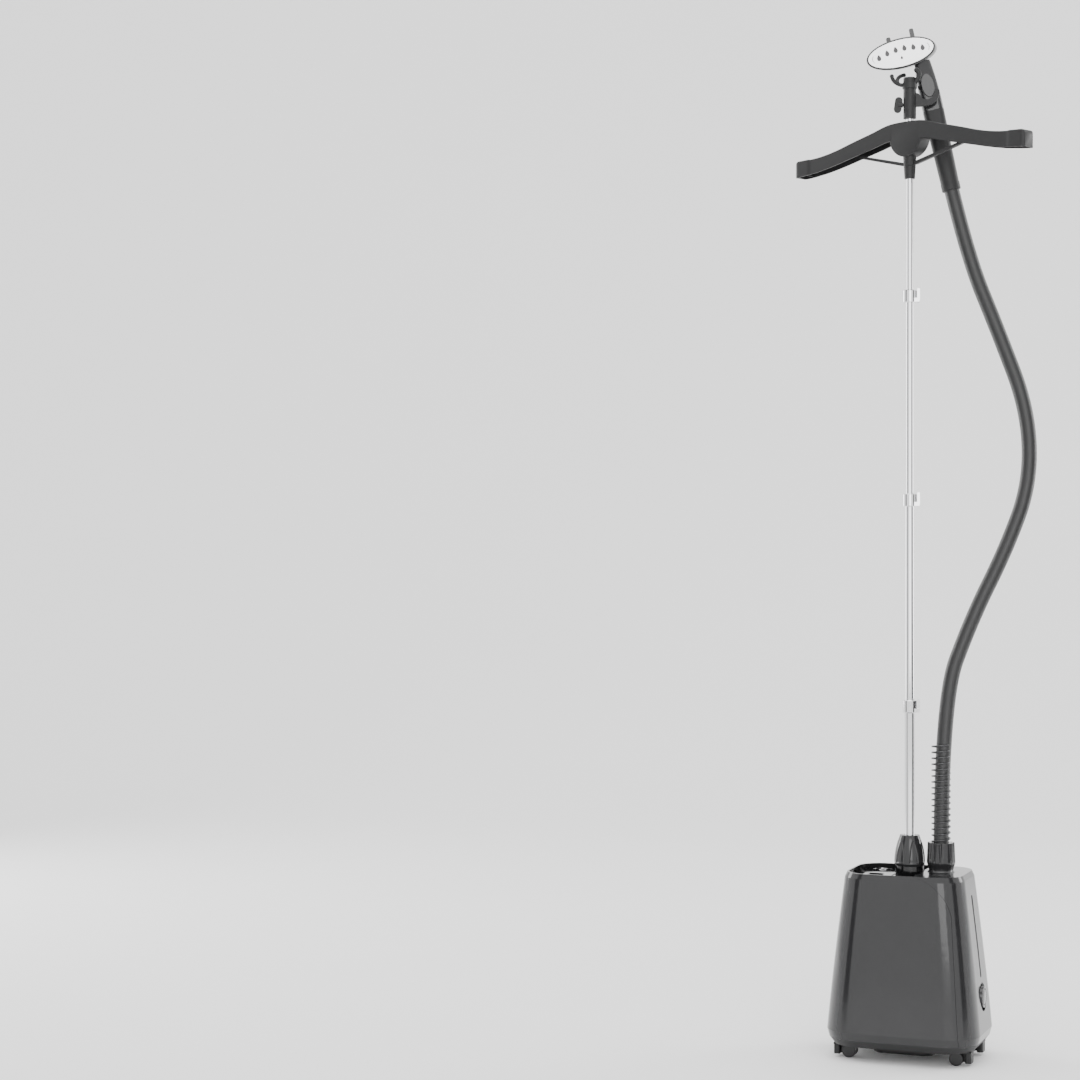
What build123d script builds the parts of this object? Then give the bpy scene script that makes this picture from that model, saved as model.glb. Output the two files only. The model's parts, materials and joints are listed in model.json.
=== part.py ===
"""Upright garment steamer: a wheeled boiler base, a telescopic pole with a clothes hanger,
and a steam head on a hose. Millimetres, +Z up, floor at z = 0, pole axis at x = y = 0.
The hose leaves the base on the -X side and the water tank lifts out on the +X side."""
import os
from math import cos, radians, sin
from build123d import *

# ---- driving dimensions -------------------------------------------------------------
# base hull: height, half length, half depth; bevels below and above, a smooth taper between
STATIONS = [(23, 110, 86), (34, 118, 92), (46, 121, 95), (130, 113, 88.5), (210, 104, 82),
            (284, 95, 76), (292, 91.5, 72.5)]
BEVEL_TOP, TAPER_TOP = 46, 284
CORNER_SHARE = 0.55
WALL = 2.6
SKIRT_TOP = 34
RIM_TOP = 292
DECK_LOW, DECK_TOP = 280, 284
FLOOR_LOW, FLOOR_TOP = 23, 28
SEAM_GAP = 0.4

NUT_X = -50
KNOB_X, KNOB_Z, KNOB_R = -119, 100, 17
CASTER_X, CASTER_Y = 95, 45
WHEEL_R, TRAIL = 11, 10

TUBE_R = [8.0, 7.0, 6.1, 5.2]
TUBE_BORE = [7.05, 6.15, 5.25, 4.4]
TUBE_LOW = [60, 520, 846, 1168]
TUBE_HIGH = [557, 883, 1205, 1540]

HANGER_YAW = 155
ARM_REACH = 226
VIEW_YAW = 193          # the holder and the steam head are turned about the pole by this
WAND_DEPTH = -30
WAND_TILT = 12.7
PLATE_U, PLATE_Z = -14, 1587
HOSE_R = 12

TANK = (27, 86, -17, 46)    # low x, high x, low y, high y
BUTTON = (54, -44)


# ---- helpers --------------------------------------------------------------------------
def half_sizes(z):
    """Half length and half depth of the base hull at height z."""
    for (z0, a0, b0), (z1, a1, b1) in zip(STATIONS, STATIONS[1:]):
        if z0 <= z <= z1:
            t = (z - z0) / (z1 - z0)
            return a0 + t * (a1 - a0), b0 + t * (b1 - b0)
    raise ValueError(z)


def outline(z, inset):
    """Outline of the base hull at height z."""
    a, b = half_sizes(z)
    with BuildSketch(Plane.XY.offset(z)) as section:
        RectangleRounded(2 * (a - inset), 2 * (b - inset), CORNER_SHARE * (b - inset))
    return section.sketch


def hull(low, high, inset=0, mode=Mode.ADD):
    """The base hull between two heights: two bevels and, between them, a smooth taper."""
    ends = [STATIONS[0][0], BEVEL_TOP, TAPER_TOP, STATIONS[-1][0]]
    for bottom, top in zip(ends, ends[1:]):
        start, stop = max(low, bottom), min(high, top)
        if start < stop:
            levels = [start] + [z for z, _, _ in STATIONS if start < z < stop] + [stop]
            smooth = bottom == BEVEL_TOP
            loft([outline(z, inset) for z in levels], ruled=not smooth, mode=mode)


def spot(u, z, n=0.0):
    """World point from the holder's own axes: u sideways, z up, n outwards."""
    a = radians(VIEW_YAW)
    return (u * cos(a) + n * sin(a), u * sin(a) - n * cos(a), z)


def turned_plane(yaw, origin=(0, 0, 0)):
    a = radians(yaw)
    return Plane(origin=origin, x_dir=(cos(a), sin(a), 0), z_dir=(sin(a), -cos(a), 0))


def holder_plane(n=0.0):
    return turned_plane(VIEW_YAW, spot(0, 0, n))


TILT = radians(WAND_TILT)
U_AXIS = Vector(*spot(1, 0))
N_AXIS = Vector(*spot(0, 0, 1))
P_AXIS = U_AXIS * cos(TILT) + Vector(0, 0, 1) * sin(TILT)
Q_AXIS = Vector(0, 0, 1) * cos(TILT) - U_AXIS * sin(TILT)
WAND_0 = Vector(*spot(PLATE_U, PLATE_Z, WAND_DEPTH))
HANDLE_P = 30            # the handle stands to one side of the plate's middle


def wand_face(n):
    """Plane of the steam plate, n in front of the middle of the wand."""
    return Plane(origin=WAND_0 + N_AXIS * n, x_dir=P_AXIS, z_dir=N_AXIS)


def wand_cut(q):
    """Plane across the handle at q along it."""
    return Plane(origin=WAND_0 + P_AXIS * HANDLE_P + Q_AXIS * q, x_dir=P_AXIS, z_dir=Q_AXIS)


os.makedirs("parts", exist_ok=True)


def save(name, item):
    item.part.label = name
    export_step(item.part, f"parts/{name}.step")


# ---- base: chassis, casters -------------------------------------------------------------
with BuildPart() as chassis:
    hull(FLOOR_LOW, SKIRT_TOP)
    hull(FLOOR_TOP, SKIRT_TOP, 3, Mode.SUBTRACT)
    with BuildSketch(Plane.XY.offset(FLOOR_TOP)):
        with GridLocations(2 * CASTER_X, 2 * CASTER_Y, 2, 2):
            Circle(7)
    extrude(amount=14)
    with BuildSketch(Plane.XY.offset(FLOOR_LOW)):
        with GridLocations(2 * CASTER_X, 2 * CASTER_Y, 2, 2):
            Circle(3.05)
    extrude(amount=16, mode=Mode.SUBTRACT)
save("chassis_skirt", chassis)

SUMP_LOW, SUMP_L, SUMP_W = 11, 96, 104
with BuildPart() as sump:
    with BuildSketch(Plane.XY.offset(SUMP_LOW)):
        RectangleRounded(SUMP_L, SUMP_W, 18)
    with BuildSketch(Plane.XY.offset(FLOOR_LOW)):
        RectangleRounded(SUMP_L + 14, SUMP_W + 14, 22)
    loft()
    with BuildSketch(Plane.XY.offset(SUMP_LOW + 2)):
        RectangleRounded(SUMP_L - 6, SUMP_W - 6, 15)
    extrude(amount=FLOOR_LOW - SUMP_LOW, mode=Mode.SUBTRACT)
save("sump_tray", sump)


def caster_hood(x, y):
    """Stem, web and outer hood of one caster; the wheel trails towards the middle."""
    side = -1 if x > 0 else 1
    with BuildPart() as hood:
        with BuildSketch(Plane.XY.offset(5)):
            with Locations((x - side * 9, y)):
                RectangleRounded(10, 22, 3.5)
        extrude(amount=17.6)
        with BuildSketch(Plane.XY.offset(20)):
            with Locations((x - side * 5.5, y)):
                Rectangle(17, 22)
        extrude(amount=2.6)
        with BuildSketch(Plane.XZ.offset(-y)):
            with Locations((x, 13.5)):
                Rectangle(26, 15)
            with Locations((x + side * TRAIL, WHEEL_R)):
                Circle(4)
        extrude(amount=3, both=True)
        with BuildSketch(Plane.XZ.offset(-y)):
            with Locations((x + side * TRAIL, WHEEL_R)):
                Circle(1.55)
        extrude(amount=3, both=True, mode=Mode.SUBTRACT)
        with BuildSketch(Plane.XY.offset(20)):
            with Locations((x, y)):
                Circle(3)
        extrude(amount=19)
    return hood


def caster_wheels(x, y):
    """Two wheel discs on one axle."""
    side = -1 if x > 0 else 1
    with BuildPart() as wheels:
        for front in (-1, 1):
            with BuildSketch(Plane.XZ.offset(-y + front * 7)):
                with Locations((x + side * TRAIL, WHEEL_R)):
                    Circle(WHEEL_R)
            extrude(amount=3.6, both=True)
        fillet(wheels.edges().filter_by(GeomType.CIRCLE), 1.2)
        with BuildSketch(Plane.XZ.offset(-y)):
            with Locations((x + side * TRAIL, WHEEL_R)):
                Circle(1.5)
        extrude(amount=8, both=True)
    return wheels


for index, (sx, sy) in enumerate([(-1, -1), (1, -1), (1, 1), (-1, 1)], start=1):
    save(f"caster_hood_{index}", caster_hood(sx * CASTER_X, sy * CASTER_Y))
    save(f"caster_wheels_{index}", caster_wheels(sx * CASTER_X, sy * CASTER_Y))


# ---- base: outer covers ------------------------------------------------------------------
def end_region(grow):
    """Side outline of the hose end: a curve from the rim down to a straight seam."""
    with BuildSketch(Plane.XZ) as region:
        with BuildLine():
            Line((-150, SKIRT_TOP - 1), (-96 + grow, SKIRT_TOP - 1))
            Line((-96 + grow, SKIRT_TOP - 1), (-82 + grow, 232))
            ThreePointArc((-82 + grow, 232), (-58 + grow, 274), (-14 + grow, RIM_TOP + 1))
            Line((-14 + grow, RIM_TOP + 1), (-150, RIM_TOP + 1))
            Line((-150, RIM_TOP + 1), (-150, SKIRT_TOP - 1))
        make_face()
    return region.sketch


STRIP_HALF, STRIP_LOW, STRIP_HIGH = 4.5, 130, 258
with BuildPart() as main_shell:
    hull(SKIRT_TOP, RIM_TOP)
    hull(SKIRT_TOP, RIM_TOP, WALL, Mode.SUBTRACT)
    extrude(end_region(SEAM_GAP), amount=120, both=True, mode=Mode.SUBTRACT)
save("main_shell", main_shell)

NECK_R = 19
with BuildPart() as spine_cover:
    hull(SKIRT_TOP, RIM_TOP)
    hull(SKIRT_TOP, RIM_TOP - 5, WALL, Mode.SUBTRACT)
    extrude(end_region(0), amount=120, both=True, mode=Mode.INTERSECT)
    with BuildSketch(Plane.XZ):
        with BuildLine():
            Polyline((NUT_X, RIM_TOP - 4), (NUT_X + 28, RIM_TOP - 4), (NUT_X + 28, RIM_TOP - 1))
            ThreePointArc((NUT_X + 28, RIM_TOP - 1), (NUT_X + 21.5, RIM_TOP + 0.6),
                          (NUT_X + NECK_R, RIM_TOP + 4))
            Polyline((NUT_X + NECK_R, RIM_TOP + 4), (NUT_X, RIM_TOP + 4), (NUT_X, RIM_TOP - 4))
        make_face()
    revolve(axis=Axis((NUT_X, 0, 0), (0, 0, 1)))
    with BuildSketch(Plane.XY.offset(RIM_TOP - 6)):
        with Locations((NUT_X, 0)):
            Circle(12.6)
        Circle(23.6)
    extrude(amount=20, mode=Mode.SUBTRACT)
    with BuildSketch(Plane.YZ.offset(-135)):
        with Locations((0, (STRIP_LOW + STRIP_HIGH) / 2)):
            RectangleRounded(2 * STRIP_HALF, STRIP_HIGH - STRIP_LOW, STRIP_HALF - 0.1)
        with Locations((0, KNOB_Z)):
            Circle(KNOB_R + 5)
    extrude(amount=50, mode=Mode.SUBTRACT)
save("spine_cover", spine_cover)

with BuildPart() as level_strip:
    hull(STRIP_LOW - 10, STRIP_HIGH + 10, 0.8)
    hull(STRIP_LOW - 10, STRIP_HIGH + 10, WALL, Mode.SUBTRACT)
    with BuildSketch(Plane.YZ.offset(-135)):
        with Locations((0, (STRIP_LOW + STRIP_HIGH) / 2)):
            RectangleRounded(2 * STRIP_HALF, STRIP_HIGH - STRIP_LOW, STRIP_HALF - 0.1)
    extrude(amount=50, mode=Mode.INTERSECT)
save("level_strip", level_strip)


def lid_outline(shrink):
    """Tank lid: a rounded panel that steps round the power button."""
    with BuildSketch(Plane.XY.offset(DECK_LOW)) as panel:
        with Locations((56.5, 0)):
            RectangleRounded(63 - 2 * shrink, 100 - 2 * shrink, 12)
        with Locations((70, -50)):
            RectangleRounded(72 + 2 * shrink, 62 + 2 * shrink, 12, mode=Mode.SUBTRACT)
    return panel.sketch


with BuildPart() as top_deck:
    hull(DECK_LOW, DECK_TOP, WALL + 0.1)
    extrude(lid_outline(0), amount=10, mode=Mode.SUBTRACT)
    with BuildSketch(Plane.XY.offset(DECK_TOP - 1)):
        Circle(23)
    with BuildSketch(Plane.XY.offset(300)):
        Circle(22)
    loft()
    with BuildSketch(Plane.XY.offset(299)):
        Circle(13.4)
    extrude(amount=30)
    with BuildSketch(Plane.XY.offset(DECK_LOW)):
        Circle(TUBE_R[0])
    extrude(amount=60, mode=Mode.SUBTRACT)
    with BuildSketch(Plane.XY.offset(DECK_LOW)):
        with Locations((NUT_X, 0)):
            Circle(12.6)
        with Locations(BUTTON):
            Circle(17.3)
    extrude(amount=10, mode=Mode.SUBTRACT)
save("top_deck", top_deck)

with BuildPart() as button_ring:
    with BuildSketch(Plane.XY.offset(DECK_TOP)):
        with Locations(BUTTON):
            Circle(20)
            Circle(17.3, mode=Mode.SUBTRACT)
    extrude(amount=1.2)
save("button_ring", button_ring)

with BuildPart() as power_button:
    with BuildSketch(Plane.XY.offset(DECK_LOW - 6)):
        with Locations(BUTTON):
            Circle(17)
    extrude(amount=10.6)
    fillet(power_button.edges().group_by(Axis.Z)[-1], 0.8)
save("power_button", power_button)

# ---- base: water tank, which lifts out ----------------------------------------------------
with BuildPart() as tank_lid:
    extrude(lid_outline(0.4), amount=5)
    with BuildSketch(Plane.XY.offset(DECK_LOW)):
        with Locations((61, 20)):
            RectangleRounded(44, 40, 10)
    extrude(amount=5, mode=Mode.SUBTRACT)
save("tank_lid", tank_lid)

with BuildPart() as lid_handle:
    with BuildSketch(Plane.XY.offset(DECK_LOW + 1)):
        with Locations((68, 20)):
            Rectangle(9, 40)
    extrude(amount=4)
    fillet(lid_handle.edges().filter_by(Axis.Y), 1.5)
save("tank_handle_bar", lid_handle)

TANK_MID = ((TANK[0] + TANK[1]) / 2, (TANK[2] + TANK[3]) / 2)
TANK_SIZE = (TANK[1] - TANK[0], TANK[3] - TANK[2])
TANK_LOW = 66
with BuildPart() as water_tank:
    with BuildSketch(Plane.XY.offset(TANK_LOW)):
        with Locations(TANK_MID):
            RectangleRounded(TANK_SIZE[0], TANK_SIZE[1], 12)
    extrude(amount=DECK_LOW - TANK_LOW)
    with BuildSketch(Plane.XY.offset(TANK_LOW + 3)):
        with Locations(TANK_MID):
            RectangleRounded(TANK_SIZE[0] - 5, TANK_SIZE[1] - 5, 9.5)
    extrude(amount=DECK_LOW - TANK_LOW, mode=Mode.SUBTRACT)
    with BuildSketch(Plane.XY.offset(TANK_LOW - 12)):
        with Locations(TANK_MID):
            Circle(11)
    extrude(amount=12.5)
    with BuildSketch(Plane.XY.offset(TANK_LOW - 12)):
        with Locations(TANK_MID):
            Circle(8.5)
    extrude(amount=20, mode=Mode.SUBTRACT)
save("water_tank", water_tank)

with BuildPart() as tank_valve:
    with BuildSketch(Plane.XY.offset(TANK_LOW - 10)):
        with Locations(TANK_MID):
            Circle(8.5)
            Circle(5, mode=Mode.SUBTRACT)
    extrude(amount=7)
    with BuildSketch(Plane.XY.offset(TANK_LOW - 10)):
        with Locations(TANK_MID):
            Circle(2)
    extrude(amount=22)
    with BuildSketch(Plane.XY.offset(TANK_LOW - 4)):
        with Locations(TANK_MID):
            Circle(7)
    extrude(amount=2)
save("tank_valve", tank_valve)

# ---- base: inside --------------------------------------------------------------------------
with BuildPart() as valve_seat:
    with BuildSketch(Plane.XY.offset(FLOOR_TOP)):
        with Locations(TANK_MID):
            RectangleRounded(40, 40, 8)
    extrude(amount=10)
    with BuildSketch(Plane.XY.offset(FLOOR_TOP + 10)):
        with Locations(TANK_MID):
            Circle(15)
            Circle(11.4, mode=Mode.SUBTRACT)
    extrude(amount=20)
save("valve_seat", valve_seat)

with BuildPart() as boiler:
    with BuildSketch(Plane.XY.offset(FLOOR_TOP + 8)):
        with Locations((NUT_X + 2, 0)):
            RectangleRounded(60, 96, 20)
    extrude(amount=46)
    fillet(boiler.edges().group_by(Axis.Z)[-1], 6)
    with BuildSketch(Plane.XY.offset(FLOOR_TOP)):
        with Locations((NUT_X + 2, 0)):
            with GridLocations(44, 60, 2, 2):
                Circle(4)
    extrude(amount=8)
save("boiler", boiler)

BOILER_TOP = FLOOR_TOP + 54
with BuildPart() as thermostat:
    with BuildSketch(Plane.XY.offset(BOILER_TOP)):
        with Locations((NUT_X + 10, -26)):
            Circle(9)
    extrude(amount=9)
save("thermostat", thermostat)

with BuildPart() as steam_pipe:
    with BuildSketch(Plane.XY.offset(BOILER_TOP)):
        with Locations((NUT_X, 0)):
            Circle(8)
            Circle(6.2, mode=Mode.SUBTRACT)
    extrude(amount=268 - BOILER_TOP)
save("steam_pipe", steam_pipe)

with BuildPart() as hose_connector:
    with BuildSketch(Plane.XY.offset(268)):
        with Locations((NUT_X, 0)):
            Circle(12.5)
            Circle(7, mode=Mode.SUBTRACT)
    extrude(amount=32)
save("hose_connector", hose_connector)

with BuildPart() as pole_well:
    with BuildSketch(Plane.XY.offset(FLOOR_TOP)):
        Circle(11)
    extrude(amount=DECK_LOW - FLOOR_TOP)
    with BuildSketch(Plane.XY.offset(TUBE_LOW[0])):
        Circle(TUBE_R[0])
    extrude(amount=DECK_LOW - TUBE_LOW[0], mode=Mode.SUBTRACT)
save("pole_well", pole_well)

with BuildPart() as drain_well:
    with BuildSketch(Plane.YZ.offset(KNOB_X + 6)):
        with Locations((0, KNOB_Z)):
            Circle(KNOB_R + 4.9)
    extrude(amount=20)
    with BuildSketch(Plane.YZ.offset(KNOB_X)):
        with Locations((0, KNOB_Z)):
            Circle(KNOB_R + 3)
    extrude(amount=23, mode=Mode.SUBTRACT)
    with BuildSketch(Plane.YZ.offset(KNOB_X)):
        with Locations((0, KNOB_Z)):
            Circle(5.05)
    extrude(amount=30, mode=Mode.SUBTRACT)
save("drain_well", drain_well)

with BuildPart() as drain_knob:
    with BuildSketch(Plane.YZ.offset(KNOB_X)):
        with Locations((0, KNOB_Z)):
            Circle(KNOB_R)
    extrude(amount=22.5)
    fillet(drain_knob.edges().group_by(Axis.X)[0], 1.5)
    with BuildSketch(Plane.YZ.offset(KNOB_X)):
        with Locations((0, KNOB_Z)):
            Circle(KNOB_R - 3.5)
            Circle(KNOB_R - 5, mode=Mode.SUBTRACT)
    extrude(amount=1, mode=Mode.SUBTRACT)
    with BuildSketch(Plane.YZ.offset(KNOB_X + 22)):
        with Locations((0, KNOB_Z)):
            Circle(5)
    extrude(amount=9)
save("drain_knob", drain_knob)

# ---- hose nut and pole collar -----------------------------------------------------------------
NUT_LOW, NUT_TOP = 296.4, 338
with BuildPart() as hose_nut:
    with BuildSketch(Plane.XZ):
        with BuildLine():
            Polyline((NUT_X + 12.9, NUT_LOW), (NUT_X + 19.5, NUT_LOW), (NUT_X + 22.5, NUT_LOW + 12))
            Line((NUT_X + 22.5, NUT_LOW + 12), (NUT_X + 21.2, NUT_TOP - 1.5))
            Polyline((NUT_X + 21.2, NUT_TOP - 1.5), (NUT_X + 19.7, NUT_TOP), (NUT_X + 12.9, NUT_TOP))
            Line((NUT_X + 12.9, NUT_TOP), (NUT_X + 12.9, NUT_LOW))
        make_face()
    revolve(axis=Axis((NUT_X, 0, 0), (0, 0, 1)))
    with BuildSketch(Plane.XY.offset(NUT_LOW + 9)):
        with Locations((NUT_X, 0)):
            with PolarLocations(24, 15):
                SlotOverall(9, 5.6, rotation=0)
    extrude(amount=NUT_TOP - NUT_LOW, mode=Mode.SUBTRACT)
save("hose_nut", hose_nut)

COLLAR_LOW, COLLAR_TOP = 300.4, 348
with BuildPart() as pole_collar:
    with BuildSketch(Plane.XZ):
        with BuildLine():
            Line((13.7, COLLAR_LOW), (23, COLLAR_LOW))
            Line((23, COLLAR_LOW), (24, COLLAR_LOW + 3))
            ThreePointArc((24, COLLAR_LOW + 3), (21.4, COLLAR_LOW + 26), (15, COLLAR_TOP))
            Polyline((15, COLLAR_TOP), (8.3, COLLAR_TOP), (8.3, 330), (13.7, 330), (13.7, COLLAR_LOW))
        make_face()
    revolve(axis=Axis.Z)
save("pole_collar", pole_collar)

# ---- telescopic pole ------------------------------------------------------------------------------
for index in range(4):
    with BuildPart() as tube:
        with BuildSketch(Plane.XY.offset(TUBE_LOW[index])):
            Circle(TUBE_R[index])
            Circle(TUBE_BORE[index], mode=Mode.SUBTRACT)
        extrude(amount=TUBE_HIGH[index] - TUBE_LOW[index])
    save(f"pole_tube_{index + 1}", tube)

LEVER_U = 12.6
for index in range(3):
    top = TUBE_HIGH[index]
    with BuildPart() as clip:
        with BuildSketch(Plane.XY.offset(top - 16)):
            Circle(11)
        extrude(amount=20)
        chamfer(clip.edges().filter_by(GeomType.CIRCLE), 1)
        with BuildSketch(holder_plane()):
            with Locations((11, top - 12)):
                Rectangle(8.4, 6)
        extrude(amount=8.5, both=True)
        with BuildSketch(holder_plane()):
            with Locations((LEVER_U + 2.9, top - 6)):
                Rectangle(8.2, 24)
        extrude(amount=6.3, both=True, mode=Mode.SUBTRACT)
        with BuildSketch(holder_plane()):
            with Locations((LEVER_U, top - 12)):
                Circle(1.25)
        extrude(amount=9, both=True, mode=Mode.SUBTRACT)
        with BuildSketch(Plane.XY.offset(top - 16)):
            Circle(TUBE_R[index])
        extrude(amount=16, mode=Mode.SUBTRACT)
        with BuildSketch(Plane.XY.offset(top - 1)):
            Circle(TUBE_R[index + 1] + 0.3)
        extrude(amount=6, mode=Mode.SUBTRACT)
    save(f"clip_body_{index + 1}", clip)
    with BuildPart() as lever:
        with BuildSketch(holder_plane()):
            with Locations((LEVER_U + 1.2, top - 3.4)):
                Rectangle(4, 18.8)
        extrude(amount=6, both=True)
        with BuildSketch(holder_plane()):
            with Locations((LEVER_U, top - 12)):
                Circle(1.2)
        extrude(amount=8.4, both=True)
    save(f"clip_lever_{index + 1}", lever)

# ---- hanger ----------------------------------------------------------------------------------------
TOP_R = TUBE_R[3]
CLAMP_LOW, CLAMP_TOP, NECK_TOP = 1385, 1404, 1425
with BuildPart() as hanger_collar:
    with BuildSketch(Plane.XY.offset(CLAMP_LOW)):
        Circle(8.2)
    with BuildSketch(Plane.XY.offset(CLAMP_TOP)):
        Circle(9.5)
    loft()
    with BuildSketch(Plane.XY.offset(CLAMP_LOW)):
        Circle(TOP_R)
    extrude(amount=CLAMP_TOP - CLAMP_LOW, mode=Mode.SUBTRACT)
save("hanger_collar", hanger_collar)

HUB_R, HUB_Z, HUB_TOP = 31, 1450, 1474.5
ARM_HALF, ARM_WALL = 13, 2.4
with BuildPart() as hanger_hub:
    with BuildSketch(turned_plane(HANGER_YAW)):
        with Locations((0, HUB_Z)):
            Circle(HUB_R)
        with Locations((0, (HUB_Z + HUB_TOP) / 2)):
            Rectangle(2 * HUB_R, HUB_TOP - HUB_Z)
        with Locations((0, HUB_TOP + HUB_R / 2)):
            Rectangle(3 * HUB_R, HUB_R, mode=Mode.SUBTRACT)
    extrude(amount=ARM_HALF, both=True)
    with BuildSketch(Plane.XY.offset(CLAMP_TOP + 0.4)):
        Circle(9.6)
    with BuildSketch(Plane.XY.offset(NECK_TOP)):
        Circle(10.6)
    loft()
    with BuildSketch(Plane.XY.offset(CLAMP_TOP)):
        Circle(TOP_R + 0.3)
    extrude(amount=HUB_TOP - CLAMP_TOP + 1, mode=Mode.SUBTRACT)
save("hanger_hub", hanger_hub)

# drop of the arm's back below the hub's top, and the arm's depth, at distances from the pole
ARM_LINE = [(HUB_R, 1.5, 27), (70, 11.5, 26), (105, 20.5, 25), (145, 31, 23.5), (180, 37, 24),
            (ARM_REACH, 39.5, 26)]


def arm_profile(side, drop=0, reach=ARM_REACH):
    """Side outline of one arm: it slopes from the hub, then flattens to its tip."""
    upper = [(side * min(r, reach), HUB_TOP - down - drop) for r, down, _ in ARM_LINE]
    lower = [(side * min(r, reach), HUB_TOP - down - deep - drop) for r, down, deep in ARM_LINE]
    with BuildSketch(turned_plane(HANGER_YAW)) as profile:
        with BuildLine():
            Spline(*upper)
            Line(upper[-1], lower[-1])
            Spline(*reversed(lower))
            Line(lower[0], upper[0])
        make_face()
    return profile.sketch


STRUT = [(9.8, 1411), (9.8, 1406.5), (14, 1406.5), (108, 1430), (107, 1434), (9.8, 1411)]
for name, side in (("near", 1), ("far", -1)):
    with BuildPart() as arm:
        extrude(arm_profile(side), amount=ARM_HALF, both=True)
        extrude(arm_profile(side, 2.6, ARM_REACH - 2.6), amount=ARM_HALF - ARM_WALL, both=True,
                mode=Mode.SUBTRACT)
    save(f"hanger_arm_{name}", arm)
    with BuildPart() as strut:
        with BuildSketch(turned_plane(HANGER_YAW)):
            with BuildLine():
                Polyline([(side * r, z) for r, z in STRUT])
            make_face()
        extrude(amount=3, both=True)
    save(f"hanger_strut_{name}", strut)

# ---- holder on the pole top ---------------------------------------------------------------------
HOLDER_LOW, HOLDER_TOP = 1480, 1545
WING_Z = 1502
with BuildPart() as holder:
    with BuildSketch(Plane.XY.offset(HOLDER_LOW)):
        Circle(10)
    extrude(amount=HOLDER_TOP - HOLDER_LOW)
    chamfer(holder.edges().group_by(Axis.Z)[-1], 1.5)
    with BuildSketch(Plane.XY.offset(HOLDER_LOW)):
        Circle(TOP_R)
    extrude(amount=TUBE_HIGH[3] - HOLDER_LOW, mode=Mode.SUBTRACT)
    with BuildSketch(Plane(origin=(0, 0, WING_Z), x_dir=(0, 0, 1), z_dir=U_AXIS)):
        Circle(2.6)
    extrude(amount=-15, mode=Mode.SUBTRACT)
save("holder_sleeve", holder)

# curved prongs of the fork: sideways, height, outwards; the last is the blunt tip
PRONGS = [(3.0, [(-8, 1533, 0), (-17, 1534.5, 1), (-24.5, 1539.5, 3), (-28, 1547, 5)]),
          (3.0, [(-17, 1534.5, 1), (-19.5, 1541, -6), (-17, 1548.5, -15), (-9, 1553.5, -24)]),
          (3.8, [(4, 1533, 2), (11, 1540, 4), (14.5, 1548, 5), (10.5, 1555.5, 6)]),
          (3.2, [(2, 1531, -7), (3.5, 1532, -18), (4.5, 1533, -29), (6, 1536, -40)])]
with BuildPart() as fork:
    with BuildSketch(Plane.XY.offset(1527.5)):
        Circle(11.5)
    extrude(amount=9)
    for radius, points in PRONGS:
        with BuildLine():
            rod = Spline(*[spot(*point) for point in points])
        with BuildSketch(Plane(origin=rod @ 0, z_dir=rod % 0)):
            Circle(radius)
        sweep(path=rod)
        with Locations(rod @ 1):
            Sphere(radius + 0.3)
    with BuildSketch(Plane.XY.offset(1500)):
        Circle(10)
    extrude(amount=HOLDER_TOP - 1500, mode=Mode.SUBTRACT)
save("holder_fork", fork)

HOOK_INNER = [(9, 1520), (14, 1518.5), (20, 1511.5), (27, 1509.5), (34, 1512.5), (38.5, 1523)]
HOOK_OUTER = [(46.5, 1521), (42, 1508), (34, 1501.5), (25, 1499.5), (14, 1498.6), (9, 1498.6)]
with BuildPart() as hook:
    with BuildSketch(holder_plane()):
        with BuildLine():
            Spline(*HOOK_INNER)
            ThreePointArc(HOOK_INNER[-1], (43.2, 1526), HOOK_OUTER[0])
            Spline(*HOOK_OUTER)
            Line(HOOK_OUTER[-1], HOOK_INNER[0])
        make_face()
    extrude(amount=3.5, both=True)
    with BuildSketch(Plane.XY.offset(1490)):
        Circle(10)
    extrude(amount=40, mode=Mode.SUBTRACT)
save("holder_hook", hook)

with BuildPart() as wing_screw:
    with BuildSketch(Plane(origin=spot(-10.6, WING_Z), x_dir=(0, 0, 1), z_dir=-U_AXIS)):
        Circle(4)
    extrude(amount=8)
    with BuildSketch(Plane(origin=spot(-5.6, WING_Z), x_dir=(0, 0, 1), z_dir=-U_AXIS)):
        Circle(2.5)
    extrude(amount=8)
    with BuildSketch(holder_plane()):
        with Locations(Location((-18, WING_Z, 0), (0, 0, 82))):
            SlotOverall(25, 12)
    extrude(amount=2, both=True)
save("wing_screw", wing_screw)

# ---- steam head and handle -------------------------------------------------------------------------
PLATE_L, PLATE_W = 104, 42
HEAD_BACK, HEAD_MID = 22, 10      # the shell's back is set towards the handle
TRIGGER_Q = -60


def head_blank():
    """Solid of the steam head, a shallow oval bowl that widens to the plate."""
    with BuildPart() as blank:
        with BuildSketch(wand_face(-16)):
            with Locations((HEAD_BACK, 0)):
                Ellipse(34, 15)
        with BuildSketch(wand_face(-6)):
            with Locations((HEAD_MID, 0)):
                Ellipse(48, 21)
        with BuildSketch(wand_face(14)):
            Ellipse(PLATE_L / 2 + 3, PLATE_W / 2 + 3)
        loft()
    return blank.part


with BuildPart() as head_shell:
    add(head_blank())
    for p, reach in ((-14, 12), (24, 17)):
        with BuildSketch(wand_face(0)):
            with Locations((p, 16 + reach / 2)):
                RectangleRounded(7, reach + 6, 2.5)
        extrude(amount=7)
save("head_shell", head_shell)

with BuildPart() as steam_plate:
    with BuildSketch(wand_face(14)):
        Ellipse(PLATE_L / 2, PLATE_W / 2)
        for step in range(6):
            p = (step - 2.5) * 14
            with Locations((p, 6 - p * p / 190)):
                Circle(2.6, mode=Mode.SUBTRACT)
        with Locations((0, -8)):
            Circle(1.5, mode=Mode.SUBTRACT)
    extrude(amount=2.5)
save("steam_plate", steam_plate)

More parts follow.
